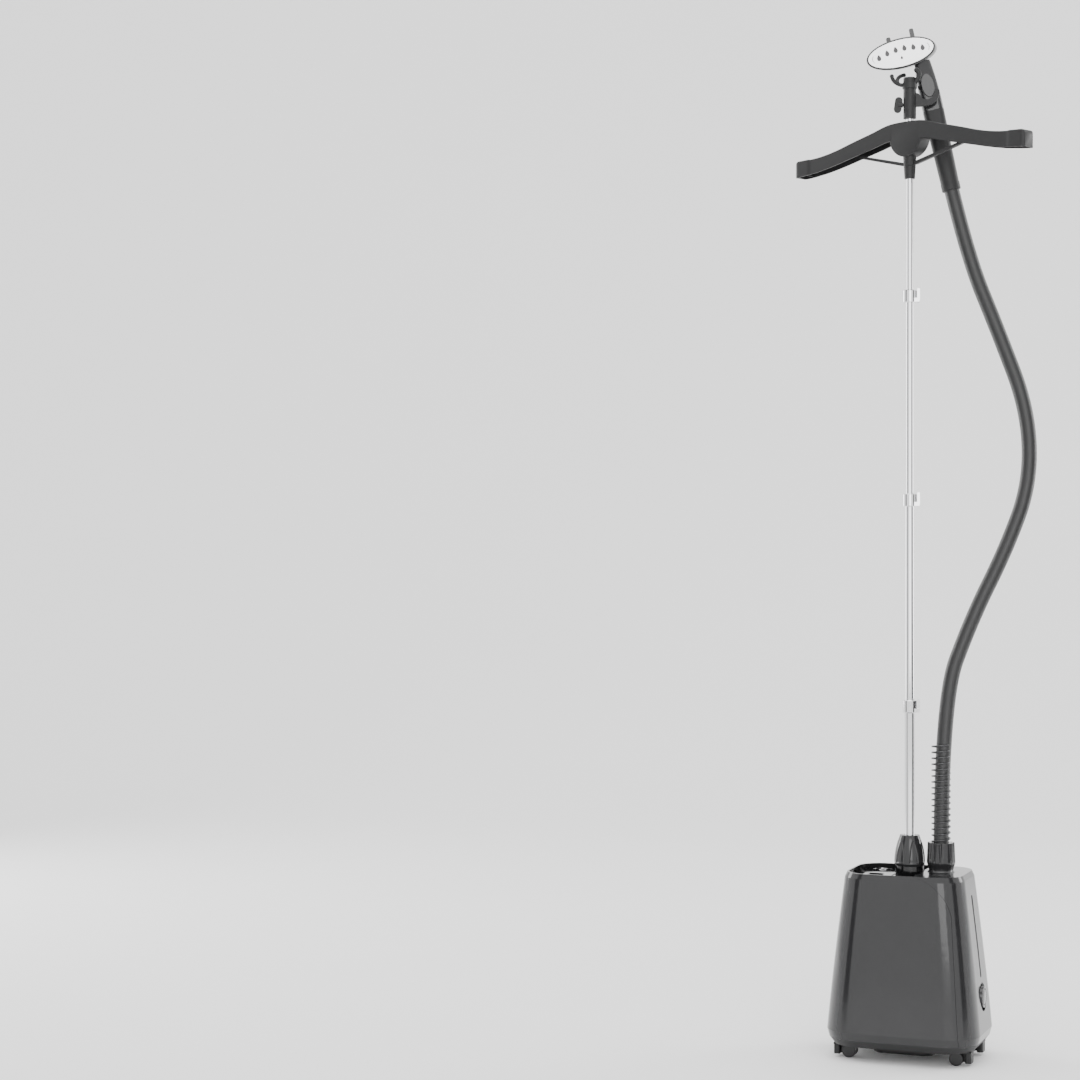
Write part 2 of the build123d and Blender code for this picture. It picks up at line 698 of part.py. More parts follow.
SEAM_Q, GRIP_END, CUFF_END = -100, -218, -230
with BuildPart() as handle_upper:
    for q, wide, thick in ((-19, 25, 21), (-45, 30, 26), (SEAM_Q, 33, 29)):
        with BuildSketch(wand_cut(q)):
            RectangleRounded(wide, thick, 9)
    loft()
    with BuildSketch(wand_face(8)):
        with Locations((HANDLE_P, TRIGGER_Q)):
            Ellipse(10.4, 19.4)
    extrude(amount=10, mode=Mode.SUBTRACT)
    add(head_blank(), mode=Mode.SUBTRACT)
save("handle_upper", handle_upper)

with BuildPart() as trigger:
    with BuildSketch(wand_face(9.5)):
        with Locations((HANDLE_P, TRIGGER_Q)):
            Ellipse(10, 19)
    extrude(amount=6.5)
    fillet(trigger.faces().sort_by(Axis.Y)[-1].edges(), 0.8)
save("trigger_panel", trigger)

with BuildPart() as grip:
    for q, wide, thick, r in ((SEAM_Q - 0.2, 33, 29, 9), (-160, 31, 29, 12), (GRIP_END, 29, 29, 14)):
        with BuildSketch(wand_cut(q)):
            RectangleRounded(wide, thick, r)
    loft()
    with BuildSketch(wand_cut(GRIP_END)):
        Circle(HOSE_R + 0.1)
    extrude(amount=40, mode=Mode.SUBTRACT)
save("grip", grip)

with BuildPart() as cuff:
    with BuildSketch(wand_cut(CUFF_END)):
        Circle(15)
        Circle(HOSE_R + 0.1, mode=Mode.SUBTRACT)
    extrude(amount=GRIP_END - CUFF_END)
    chamfer(cuff.edges().filter_by(GeomType.CIRCLE).sort_by(Axis.Z)[0], 1)
save("grip_cuff", cuff)

# ---- hose and its spring guard ----------------------------------------------------------------------
HOSE_LOW = 300
HOSE_IN = WAND_0 + P_AXIS * HANDLE_P + Q_AXIS * (-178)
HOSE_OUT = WAND_0 + P_AXIS * HANDLE_P + Q_AXIS * (-330)
HOSE_POINTS = [tuple(HOSE_IN), tuple(HOSE_OUT), spot(140, 1140, -25), spot(184, 1020, -18),
               spot(188, 905, -10), spot(150, 800, 0), spot(96, 690, 7),
               (NUT_X, 0, 560), (NUT_X, 0, HOSE_LOW)]


def bend_radii(points):
    """Arc radius at each corner, so that the arcs nearly meet along the runs."""
    radii = []
    for a, b, c in zip(points, points[1:], points[2:]):
        before = Vector(*b) - Vector(*a)
        after = Vector(*c) - Vector(*b)
        turn = radians(before.get_angle(after))
        shorter = min(before.length, after.length)
        radii.append(0.45 * shorter * cos(turn / 2) / sin(turn / 2))
    return radii


with BuildPart() as hose:
    with BuildLine() as route:
        FilletPolyline(*HOSE_POINTS, radius=bend_radii(HOSE_POINTS))
    with BuildSketch(Plane(origin=HOSE_POINTS[0], z_dir=HOSE_OUT - HOSE_IN)):
        Circle(HOSE_R)
    sweep()
save("steam_hose", hose)
print("hose length", route.wires()[0].length, "volume", hose.part.volume)
print("radii", bend_radii(HOSE_POINTS))

SPRING_LOW, SPRING_TOP = NUT_TOP + 0.4, 494
with BuildPart() as spring:
    with BuildSketch(Plane.XY.offset(SPRING_LOW)):
        with Locations((NUT_X, 0)):
            Circle(15.3)
            Circle(HOSE_R + 0.6, mode=Mode.SUBTRACT)
    extrude(amount=SPRING_TOP - SPRING_LOW)
save("hose_spring", spring)
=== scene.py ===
"""Visual model of the upright garment steamer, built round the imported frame. Metres, +Z up."""
import json
from math import cos, pi, radians, sin, sqrt, tau

import bmesh
import bpy
from mathutils import Matrix, Vector


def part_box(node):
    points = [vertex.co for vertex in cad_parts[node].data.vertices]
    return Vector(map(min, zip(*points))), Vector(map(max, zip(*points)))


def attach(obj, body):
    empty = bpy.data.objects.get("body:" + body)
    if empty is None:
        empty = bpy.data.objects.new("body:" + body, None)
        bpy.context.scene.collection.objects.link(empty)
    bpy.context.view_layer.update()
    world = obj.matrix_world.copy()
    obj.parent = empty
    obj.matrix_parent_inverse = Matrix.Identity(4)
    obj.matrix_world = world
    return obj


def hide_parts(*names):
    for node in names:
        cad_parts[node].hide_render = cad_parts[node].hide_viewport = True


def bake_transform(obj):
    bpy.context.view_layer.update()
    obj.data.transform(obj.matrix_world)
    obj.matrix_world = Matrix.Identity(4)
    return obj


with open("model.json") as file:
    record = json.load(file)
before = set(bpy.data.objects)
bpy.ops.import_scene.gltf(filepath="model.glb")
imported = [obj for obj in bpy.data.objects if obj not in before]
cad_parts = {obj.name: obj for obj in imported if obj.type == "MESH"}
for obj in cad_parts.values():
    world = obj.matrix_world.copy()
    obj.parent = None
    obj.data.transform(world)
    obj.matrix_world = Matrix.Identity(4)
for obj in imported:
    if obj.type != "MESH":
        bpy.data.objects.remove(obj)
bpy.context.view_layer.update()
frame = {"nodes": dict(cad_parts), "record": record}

# ---- camera -----------------------------------------------------------------------------
VIEW_TURN = 193          # degrees round the object, 0 looks along +Y
CAMERA_DISTANCE, CAMERA_HEIGHT = 3.9, 0.814
SIDE_AIM = 8.62          # degrees; the object stands right of the middle of the frame
LENS, SENSOR = 81.3, 36  # millimetres


def make_camera():
    """Level camera at the angle of the main view."""
    data = bpy.data.cameras.new("camera")
    data.lens, data.sensor_width = LENS, SENSOR
    data.clip_end = 60
    camera = bpy.data.objects.new("camera", data)
    bpy.context.scene.collection.objects.link(camera)
    turn = radians(VIEW_TURN)
    camera.location = (CAMERA_DISTANCE * sin(turn), -CAMERA_DISTANCE * cos(turn), CAMERA_HEIGHT)
    camera.rotation_euler = (radians(90), 0, radians(VIEW_TURN + SIDE_AIM))
    bpy.context.scene.camera = camera


make_camera()


# ---- helpers ----------------------------------------------------------------------------
def link(name, mesh, material, smooth=True):
    """Object of a mesh or a curve, in the scene, with its material."""
    thing = bpy.data.objects.new(name, mesh)
    bpy.context.scene.collection.objects.link(thing)
    mesh.materials.append(material)
    if smooth and isinstance(mesh, bpy.types.Mesh):
        for face in mesh.polygons:
            face.use_smooth = True
    return thing


def soft_edges(thing, angle=35):
    """Smooth shading with creases kept where faces meet more sharply than the angle."""
    thing.data.shade_smooth()
    thing.data.set_sharp_from_angle(angle=radians(angle))


def bevel(thing, width, segments=3, angle=35):
    """Rounds the edges that are sharper than the angle."""
    rounding = thing.modifiers.new("round", "BEVEL")
    rounding.width = width
    rounding.segments = segments
    rounding.limit_method = "ANGLE"
    rounding.angle_limit = radians(angle)
    rounding.harden_normals = False


def piece(thing, body, slot, *nodes):
    """The piece rides on a body and stands for these CAD nodes; its slot argument is not used."""
    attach(thing, body)
    if nodes:
        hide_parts(*nodes)
    return thing


def middle(node):
    """Middle of a CAD node's box."""
    low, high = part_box(node)
    return (Vector(low) + Vector(high)) / 2


def grid_mesh(name, rings, closed_rings=True, caps=(False, False)):
    """Mesh of rings of points, joined ring to ring."""
    mesh = bpy.data.meshes.new(name)
    count = len(rings[0])
    points = [point for ring in rings for point in ring]
    faces = []
    for row in range(len(rings) - 1):
        for k in range(count if closed_rings else count - 1):
            a, b = row * count + k, row * count + (k + 1) % count
            faces.append((a, b, b + count, a + count))
    if caps[0]:
        faces.append(tuple(reversed(range(count))))
    if caps[1]:
        faces.append(tuple((len(rings) - 1) * count + k for k in range(count)))
    mesh.from_pydata(points, [], faces)
    mesh.validate()
    return mesh


def fix_normals(thing, merge=False):
    """Faces look outwards; merge first joins points that coincide."""
    body = bmesh.new()
    body.from_mesh(thing.data)
    if merge:
        bmesh.ops.remove_doubles(body, verts=body.verts, dist=1e-6)
    bmesh.ops.recalc_face_normals(body, faces=body.faces)
    body.to_mesh(thing.data)
    body.free()


def turned(name, centre, radius, levels, segments, material):
    """Turned form round a vertical axis: radius(z, angle) at each level, open at both ends."""
    rings = []
    for z in levels:
        ring = []
        for k in range(segments):
            angle = tau * k / segments
            r = radius(z, angle)
            ring.append((centre[0] + r * cos(angle), centre[1] + r * sin(angle), z))
        rings.append(ring)
    return link(name, grid_mesh(name, rings), material)


def lathe(name, profile, material, axis_point=(0, 0, 0), axis=(0, 0, 1), segments=96):
    """Closed profile of (radius, height) points turned round an axis."""
    turn = Vector((0, 0, 1)).rotation_difference(Vector(axis)).to_matrix()
    rings = []
    for r, h in list(profile) + [profile[0]]:
        ring = []
        for k in range(segments):
            angle = tau * k / segments
            ring.append(Vector(axis_point) + turn @ Vector((r * cos(angle), r * sin(angle), h)))
        rings.append(ring)
    thing = link(name, grid_mesh(name, rings), material)
    fix_normals(thing, merge=True)
    soft_edges(thing, 40)
    return thing


def tube_mesh(name, path, radius, material, segments=32, capped=True):
    """Round tube along a list of points, with no twist."""
    points = [Vector(p) for p in path]
    normal = None
    rings = []
    for k, point in enumerate(points):
        ahead = points[min(k + 1, len(points) - 1)] - points[max(k - 1, 0)]
        ahead.normalize()
        if normal is None:
            normal = ahead.orthogonal().normalized()
        normal = (normal - ahead * normal.dot(ahead)).normalized()
        side = ahead.cross(normal)
        angles = [tau * s / segments for s in range(segments)]
        rings.append([point + radius * (cos(a) * normal + sin(a) * side) for a in angles])
    return link(name, grid_mesh(name, rings, caps=(capped, capped)), material)


# ---- materials --------------------------------------------------------------------------
def new_material(name):
    """Empty node material, its nodes and its links."""
    material = bpy.data.materials.new(name)
    material.use_nodes = True
    return material, material.node_tree.nodes, material.node_tree.links


def grained(name, colour, rough, spread=0.04, scale=60, bump=0.02, metallic=0.0, coat=0.0,
            tint=0.12, specular=0.5):
    """Surface with a fine grain: its colour, roughness and relief vary a little with noise."""
    material, nodes, links = new_material(name)
    shader = nodes["Principled BSDF"]
    shader.inputs["Metallic"].default_value = metallic
    shader.inputs["Coat Weight"].default_value = coat
    shader.inputs["Coat Roughness"].default_value = 0.03
    shader.inputs["Specular IOR Level"].default_value = specular
    place = nodes.new("ShaderNodeTexCoord")
    noise = nodes.new("ShaderNodeTexNoise")
    noise.inputs["Scale"].default_value = scale
    noise.inputs["Detail"].default_value = 4
    links.new(place.outputs["Object"], noise.inputs["Vector"])
    mix = nodes.new("ShaderNodeMix")
    mix.data_type = "RGBA"
    mix.inputs["A"].default_value = (*[c * (1 - tint) for c in colour], 1)
    mix.inputs["B"].default_value = (*[min(1, c * (1 + tint)) for c in colour], 1)
    links.new(noise.outputs["Fac"], mix.inputs["Factor"])
    links.new(mix.outputs["Result"], shader.inputs["Base Color"])
    span = nodes.new("ShaderNodeMapRange")
    span.inputs["To Min"].default_value = max(0.02, rough - spread)
    span.inputs["To Max"].default_value = rough + spread
    links.new(noise.outputs["Fac"], span.inputs["Value"])
    links.new(span.outputs["Result"], shader.inputs["Roughness"])
    fine = nodes.new("ShaderNodeTexNoise")
    fine.inputs["Scale"].default_value = scale * 9
    fine.inputs["Detail"].default_value = 2
    links.new(place.outputs["Object"], fine.inputs["Vector"])
    relief = nodes.new("ShaderNodeBump")
    relief.inputs["Strength"].default_value = bump
    relief.inputs["Distance"].default_value = 0.0005
    links.new(fine.outputs["Fac"], relief.inputs["Height"])
    links.new(relief.outputs["Normal"], shader.inputs["Normal"])
    return material


def woven(name, colour, rough):
    """Close-woven hose sleeve: two crossing waves make the weave."""
    material = grained(name, colour, rough, scale=40, bump=0.0)
    nodes, links = material.node_tree.nodes, material.node_tree.links
    place = nodes["Texture Coordinate"]
    relief = nodes["Bump"]
    total = nodes.new("ShaderNodeMath")
    total.operation = "MULTIPLY"
    for side, turn in enumerate((0.7, -0.7)):
        lean = nodes.new("ShaderNodeMapping")
        lean.inputs["Rotation"].default_value = (0, turn, turn)
        wave = nodes.new("ShaderNodeTexWave")
        wave.inputs["Scale"].default_value = 320
        links.new(place.outputs["Object"], lean.inputs["Vector"])
        links.new(lean.outputs["Vector"], wave.inputs["Vector"])
        links.new(wave.outputs["Fac"], total.inputs[side])
    links.new(total.outputs["Value"], relief.inputs["Height"])
    relief.inputs["Strength"].default_value = 0.25
    return material


def smoky_clear(name):
    """Smoky clear plastic of the water tank."""
    material = grained(name, (0.4, 0.42, 0.45), 0.08, spread=0.03, scale=25, bump=0.01)
    shader = material.node_tree.nodes["Principled BSDF"]
    shader.inputs["Transmission Weight"].default_value = 0.85
    shader.inputs["IOR"].default_value = 1.45
    return material


SHELL = grained("shell_black", (0.018, 0.018, 0.019), 0.13, spread=0.02, scale=18, bump=0.002,
                coat=0.12, specular=0.42)
DECK = grained("deck_black", (0.006, 0.006, 0.0065), 0.1, spread=0.02, scale=22, bump=0.004,
               coat=0.2, specular=0.4)
MATTE = grained("matte_grey", (0.013, 0.013, 0.0135), 0.46, spread=0.05, scale=160, bump=0.1,
                specular=0.33)
INNER = grained("inner_grey", (0.12, 0.12, 0.125), 0.6, spread=0.05, scale=90, bump=0.08)
CHROME = grained("chrome", (0.78, 0.78, 0.79), 0.07, spread=0.03, scale=14, bump=0.004,
                 metallic=1.0, tint=0.02)
STEEL = grained("steel", (0.5, 0.5, 0.5), 0.35, spread=0.08, scale=120, bump=0.05, metallic=1.0)
SPRING = grained("spring_wire", (0.05, 0.05, 0.052), 0.25, spread=0.05, scale=80, bump=0.01,
                 metallic=0.6)
PLATE = grained("plate_silver", (0.9, 0.9, 0.91), 0.2, spread=0.05, scale=40, bump=0.01,
                metallic=0.6, tint=0.02)
WHEEL = grained("wheel_black", (0.012, 0.012, 0.0125), 0.3, spread=0.06, scale=90, bump=0.04,
                specular=0.4)
HOSE = woven("hose_black", (0.012, 0.012, 0.0125), 0.32)
TANK = smoky_clear("tank_clear")
BY_SLOT = {"shell_black": SHELL, "deck_black": DECK, "matte_grey": MATTE, "inner_grey": INNER,
           "chrome": CHROME, "steel": STEEL, "plate_silver": PLATE, "hose_black": HOSE,
           "tank_clear": TANK, "wheel_black": WHEEL}


def finish_cad_nodes():
    """Gives each carried-over CAD node the material of its slot."""
    slots = {part["node"]: part["material_slot"] for part in frame["record"]["subparts"]}
    for name, node in frame["nodes"].items():
        node.data.materials.clear()
        node.data.materials.append(BY_SLOT[slots[name]])


finish_cad_nodes()


def round_cad_edges():
    """Small rounded edges on the CAD nodes that are shown as they are."""
    widths = {"holder_sleeve": 0.0012, "holder_hook": 0.0012, "wing_screw": 0.0012,
              "steam_plate": 0.0004, "grip_cuff": 0.0008, "tank_handle_bar": 0.0006,
              "top_deck": 0.0004, "tank_lid": 0.0004, "hanger_collar": 0.0005,
              "hanger_strut_near": 0.0008, "hanger_strut_far": 0.0008}
    for index in (1, 2, 3, 4):
        widths[f"caster_hood_{index}"] = 0.0008
        if index < 4:
            widths[f"clip_body_{index}"] = widths[f"clip_lever_{index}"] = 0.0006
    for name, width in widths.items():
        bevel(frame["nodes"][name], width, 3, 40)


round_cad_edges()

# ---- steam hose -------------------------------------------------------------------------
HOSE_D = 0.024
# from the steam head down to the nut on the base
HOSE_ROUTE = [(-0.04626, -0.04147, 1.41995), (-0.07882, -0.04899, 1.27167),
              (-0.13079, -0.05585, 1.14), (-0.17523, -0.05893, 1.02), (-0.18093, -0.05203, 0.905),
              (-0.14616, -0.03374, 0.8), (-0.09511, -0.01477, 0.69), (-0.05, 0, 0.56),
              (-0.05, 0, 0.3)]


def smooth_line(points, name):
    """Points along the smooth curve that has these control points."""
    data = bpy.data.curves.new(name, "CURVE")
    data.dimensions = "3D"
    data.resolution_u = 24
    line = data.splines.new("NURBS")
    line.points.add(len(points) - 1)
    for control, point in zip(line.points, points):
        control.co = (*point, 1)
    line.order_u = 3
    line.use_endpoint_u = True
    holder = bpy.data.objects.new(name, data)
    path = bpy.data.meshes.new_from_object(holder)
    found = [vertex.co.copy() for vertex in path.vertices]
    bpy.data.objects.remove(holder)
    bpy.data.curves.remove(data)
    bpy.data.meshes.remove(path)
    return found


def make_hose():
    """Sleeved hose between the base and the steam head."""
    path = smooth_line(HOSE_ROUTE, "hose_line")
    hose = tube_mesh("steam_hose_sleeve", path, HOSE_D / 2, HOSE, segments=40)
    soft_edges(hose, 50)
    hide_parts("steam_hose")
    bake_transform(hose)


make_hose()


def make_spring():
    """Wire coil that guards the hose above its nut."""
    low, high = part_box("hose_spring")
    centre = middle("hose_spring")
    wire, pitch = 0.0014, 0.0093
    outer = (high[0] - low[0]) / 2 - wire
    start, stop = low[2] + wire, high[2] - wire
    turns = (stop - start) / pitch
    steps = int(turns * 36)
    path = []
    for k in range(steps + 1):
        angle = tau * turns * k / steps
        path.append((centre[0] + outer * cos(angle), centre[1] + outer * sin(angle),
                     start + (stop - start) * k / steps))
    coil = tube_mesh("hose_guard_coil", path, wire, SPRING, segments=10)
    piece(coil, "base", "steel", "hose_spring")


make_spring()


# ---- hose nut and pole collar -------------------------------------------------------------
def smooth_step(t):
    """0 to 1, level at both ends."""
    t = min(1, max(0, t))
    return t * t * (3 - 2 * t)


NUT_PLACES = 15
NUT_FLARE = 0.29         # share of the nut's height that widens upwards


def make_nut():
    """Grooved nut: fifteen places round it, every fifth one left smooth."""
    low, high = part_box("hose_nut")
    centre = middle("hose_nut")
    widest = (high[0] - low[0]) / 2
    base, top = low[2], high[2]
    tall = top - base

    def body_radius(z):
        t = (z - base) / tall
        if t < NUT_FLARE:
            return widest - 0.003 * (1 - smooth_step(t / NUT_FLARE))
        return widest - 0.0013 * (t - NUT_FLARE) / (1 - NUT_FLARE)

    def radius(z, angle):
        place = (angle - radians(3)) / tau * NUT_PLACES
        nearest = round(place)
        offset = (place - nearest) * 360 / NUT_PLACES
        if nearest % 5 == 0:
            return body_radius(z)
        t = (z - base) / tall
        half = 3.2 + 4.2 * smooth_step((t - 0.28) / 0.6)
        depth = 0.0026 * smooth_step((t - 0.2) / 0.25)
        groove = 1 - smooth_step((abs(offset) - half * 0.45) / (half * 0.55))
        return body_radius(z) - depth * groove

    levels = [base + tall * k / 48 for k in range(49)]
    skin = turned("hose_nut_ribs", centre, radius, levels, 360, SHELL)
    bore, lip = 0.0129, top + 0.0002
    profile = [(bore, base), (bore, lip), (widest - 0.004, lip), (widest - 0.0031, top - 0.0006),
               (widest - 0.0045, top - 0.002), (widest - 0.0055, base + 0.001)]
    cap = lathe("hose_nut_cap", profile, SHELL, (centre[0], centre[1], 0))
    piece(skin, "hose_nut", "shell_black", "hose_nut")
    piece(cap, "hose_nut", "shell_black")


make_nut()


def make_collar():
    """Ogive pole collar with pointed-arch dimples round it."""
    low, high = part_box("pole_collar")
    widest = (high[0] - low[0]) / 2
    base, top = low[2], high[2]
    tall = top - base
    narrow, bore = 0.0152, 0.0083
    foot = 0.06          # share of the height taken by the rounded foot

    def body_radius(z):
        t = (z - base) / tall
        if t < foot:
            return widest - 0.001 * (1 - t / foot)
        s = (t - foot) / (1 - foot)
        return narrow + (widest - narrow) * (1 - s ** 1.9)

    def radius(z, angle):
        t = (z - base) / tall
        place = angle / tau * 6
        offset = (place - round(place)) * 2
        arch = 0.62 * sqrt(max(0.0, 1 - max(0.0, (t - 0.12) / 0.72) ** 1.6))
        inside = smooth_step((arch - abs(offset)) / 0.12) * smooth_step((t - 0.1) / 0.03)
        rim = smooth_step(1 - abs(arch - abs(offset)) / 0.08) * smooth_step((t - 0.1) / 0.03)
        if t > 0.85:
            inside = rim = 0
        return body_radius(z) - 0.0011 * inside + 0.0004 * rim

    levels = [base + tall * k / 90 for k in range(91)]
    skin = turned("pole_collar_skin", (0, 0), radius, levels, 360, SHELL)
    profile = [(bore, top - 0.004), (bore, top), (narrow - 0.0012, top), (narrow, top - 0.0008),
               (narrow - 0.002, top - 0.004)]
    cap = lathe("pole_collar_top", profile, SHELL)
    piece(skin, "pole_collar", "shell_black", "pole_collar")
    piece(cap, "pole_collar", "shell_black")


make_collar()


# ---- side knob ----------------------------------------------------------------------------
def make_knob():
    """Round drain knob with a ring groove in its face and a small dot set in the groove."""
    low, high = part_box("drain_knob")
    centre = middle("drain_knob")
    r = (high[2] - low[2]) / 2
    deep = 0.0225
    profile = [(0, 0), (r - 0.0062, 0), (r - 0.0054, 0.0003), (r - 0.0050, 0.0012),
               (r - 0.0042, 0.0012), (r - 0.0038, 0.0003), (r - 0.0030, 0), (r - 0.0014, 0.0001),
               (r - 0.0004, 0.0006), (r, 0.0016), (r, deep), (0, deep)]
    knob = lathe("drain_knob_turned", profile, SHELL, (low[0], centre[1], centre[2]), (1, 0, 0))
    dot = [(0, 0.0004), (0.0022, 0.0004), (0.0026, 0.0014), (0, 0.0014)]
    tab = lathe("drain_knob_tab", dot, MATTE, (low[0], centre[1], centre[2] - r + 0.0046),
                (1, 0, 0), 24)
    piece(knob, "drain_knob", "shell_black", "drain_knob")
    piece(tab, "drain_knob", "matte_grey")


make_knob()


# ---- hanger -------------------------------------------------------------------------------
HANGER_TURN = radians(155)
HUB_R, ARM_REACH, ARM_HALF = 0.031, 0.226, 0.013
HUB_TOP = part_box("hanger_hub")[1][2]
HUB_MIDDLE = HUB_TOP - 0.0245
HUB_SHOULDER = 0.0015    # fall of the hub's back from its middle to its sides
ARM_OVERLAP = 0.004      # the arms start this far inside the hub
ARM_WALL = 0.0024
TIP_LENGTH = 0.031       # the thicker end of each arm
# drop of the arm's back below the hub's top, and the arm's depth, at distances from the pole
ARM_LINE = [(0.031, 0.0015, 0.027), (0.070, 0.0115, 0.026), (0.105, 0.0205, 0.025),
            (0.145, 0.031, 0.0235), (0.180, 0.037, 0.024), (0.226, 0.0395, 0.026)]


def hanger_point(along, across, z):
    """Point at these distances along and across the arms."""
    return Vector((along * cos(HANGER_TURN) - across * sin(HANGER_TURN),
                   along * sin(HANGER_TURN) + across * cos(HANGER_TURN), z))


def smooth_between(table, at):
    """Values of the table at a place, on a smooth curve through its rows."""
    k = max(0, min(len(table) - 2, sum(row[0] <= at for row in table) - 1))
    rows = [table[max(0, min(len(table) - 1, k + step))] for step in (-1, 0, 1, 2)]
    t = (at - rows[1][0]) / (rows[2][0] - rows[1][0])
    found = []
    for column in range(1, len(table[0])):
        a, b, c, d = (row[column] for row in rows)
        bend = 2 * a - 5 * b + 4 * c - d + t * (3 * (b - c) + d - a)
        found.append(b + 0.5 * t * (c - a + t * bend))
    return found


def channel_ring(along, top, depth, half, wall, shoulder, floor_at=None):
    """Section of a channel that opens downwards, its back rounded at both shoulders."""
    outer = [(half, top - depth)]
    for k in range(9):
        angle = pi / 2 * k / 8
        outer.append((half - shoulder + shoulder * cos(angle),
                      top - shoulder + shoulder * sin(angle)))
    outer += [(-x, z) for x, z in reversed(outer)]
    roof = top - wall if floor_at is None else floor_at
    share = 1 - wall / half
    inner = [(x * share, min(z, roof)) for x, z in reversed(outer)]
    return [hanger_point(along, x, z) for x, z in outer + inner]


def make_arm(name, side):
    """Moulded arm: a channel, closed at its tip by a rounded end."""
    rings = []
    start = HUB_R - ARM_OVERLAP
    for k in range(61):
        along = start + (ARM_REACH - start) * (1 - (1 - k / 60) ** 1.4)
        drop, depth = smooth_between(ARM_LINE, max(along, HUB_R))
        left = ARM_REACH - along
        ease = 1 - sqrt(max(0.0, 1 - max(0.0, 1 - left / 0.006) ** 2))
        step = smooth_step((TIP_LENGTH - left) / 0.004)
        half = ARM_HALF + 0.0001 + 0.0007 * step - 0.0035 * ease
        top = HUB_TOP - drop + 0.0007 * step - 0.0045 * ease
        bottom = HUB_TOP - drop - depth
        floor_at = bottom + 0.0002 if left < 0.0026 else None
        rings.append(channel_ring(side * along, top, top - bottom, half, ARM_WALL, ARM_WALL,
                                  floor_at))
    arm = link("hanger_arm_" + name + "_moulded", grid_mesh("arm", rings, caps=(True, True)), MATTE)
    fix_normals(arm)
    soft_edges(arm, 40)
    piece(arm, "hanger", "matte_grey", "hanger_arm_" + name)

    # the cross rib seen inside the channel near its tip
    rib_rings = []
    for k in range(2):
        along = ARM_REACH - 0.018 + 0.0016 * k
        drop, depth = smooth_between(ARM_LINE, along)
        top, bottom = HUB_TOP - drop - 0.0022, HUB_TOP - drop - depth + 0.002
        rib_rings.append([hanger_point(side * along, x, z) for x, z in
                          ((0.0108, bottom), (0.0108, top), (-0.0108, top), (-0.0108, bottom))])
    rib = link("hanger_rib_" + name, grid_mesh("rib", rib_rings, caps=(True, True)), MATTE)
    soft_edges(rib, 30)
    bevel(rib, 0.0003, 1)
    piece(rib, "hanger", "matte_grey")


def make_hub():
    """Hub between the arms: a flat back above, a half disc below, its edges rounded."""
    outline = []
    for k in range(49):
        angle = pi + pi * k / 48
        outline.append((HUB_R * cos(angle), HUB_MIDDLE + HUB_R * sin(angle)))
    shoulder = HUB_TOP - HUB_SHOULDER
    outline += [(HUB_R, shoulder)]
    for k in range(1, 16):
        share = 1 - k / 8
        outline.append((HUB_R * share, HUB_TOP - HUB_SHOULDER * share * share))
    outline += [(-HUB_R, shoulder)]
    inset = 0.0022
    centre = Vector((0, (HUB_TOP + HUB_MIDDLE - HUB_R) / 2))
    rings = []
    steps = [(-ARM_HALF, inset)]
    for k in range(1, 6):
        angle = pi / 2 * k / 5
        steps.append((-ARM_HALF + inset * (1 - cos(angle)), inset * (1 - sin(angle))))
    steps += [(-across, shrink) for across, shrink in reversed(steps)]
    for across, shrink in steps:
        ring = []
        for x, z in outline:
            spoke = Vector((x, z)) - centre
            spoke *= 1 - shrink / spoke.length
            ring.append(hanger_point(centre.x + spoke.x, across, centre.y + spoke.y))
        rings.append(ring)
    hub = link("hanger_hub_moulded", grid_mesh("hub", rings, caps=(True, True)), MATTE)
    fix_normals(hub)
    soft_edges(hub, 40)
    neck_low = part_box("hanger_hub")[0][2]
    neck_top = neck_low + 0.021
    profile = [(0.0055, neck_low), (0.0090, neck_low), (0.0096, neck_low + 0.0007),
               (0.0106, neck_top), (0.0055, neck_top)]
    neck = lathe("hanger_neck", profile, MATTE)
    piece(hub, "hanger", "matte_grey", "hanger_hub")
    piece(neck, "hanger", "matte_grey")


make_hub()
make_arm("near", 1)
make_arm("far", -1)


# ---- steam plate --------------------------------------------------------------------------
def joint_axis(name):
    """Direction of a joint of the record."""
    joints = frame["record"]["behaviour"]["joints"]
    return Vector(next(joint["axis"] for joint in joints if joint["name"] == name)).normalized()


PLATE_UP = joint_axis("wand_lift")
PLATE_OUT = -joint_axis("trigger_press")
PLATE_SIDE = PLATE_UP.cross(PLATE_OUT)
PLATE_MIDDLE = middle("steam_plate")


def on_plate(right, high, out):
    """Point at these distances from the middle of the steam plate."""
    return PLATE_MIDDLE + PLATE_OUT * out + PLATE_SIDE * right + PLATE_UP * high


HOLE_PITCH, HOLE_HALF_WIDE, HOLE_HALF_TALL = 0.014, 0.0034, 0.0039
FACE = 0.00126           # the plate's face, out from its middle


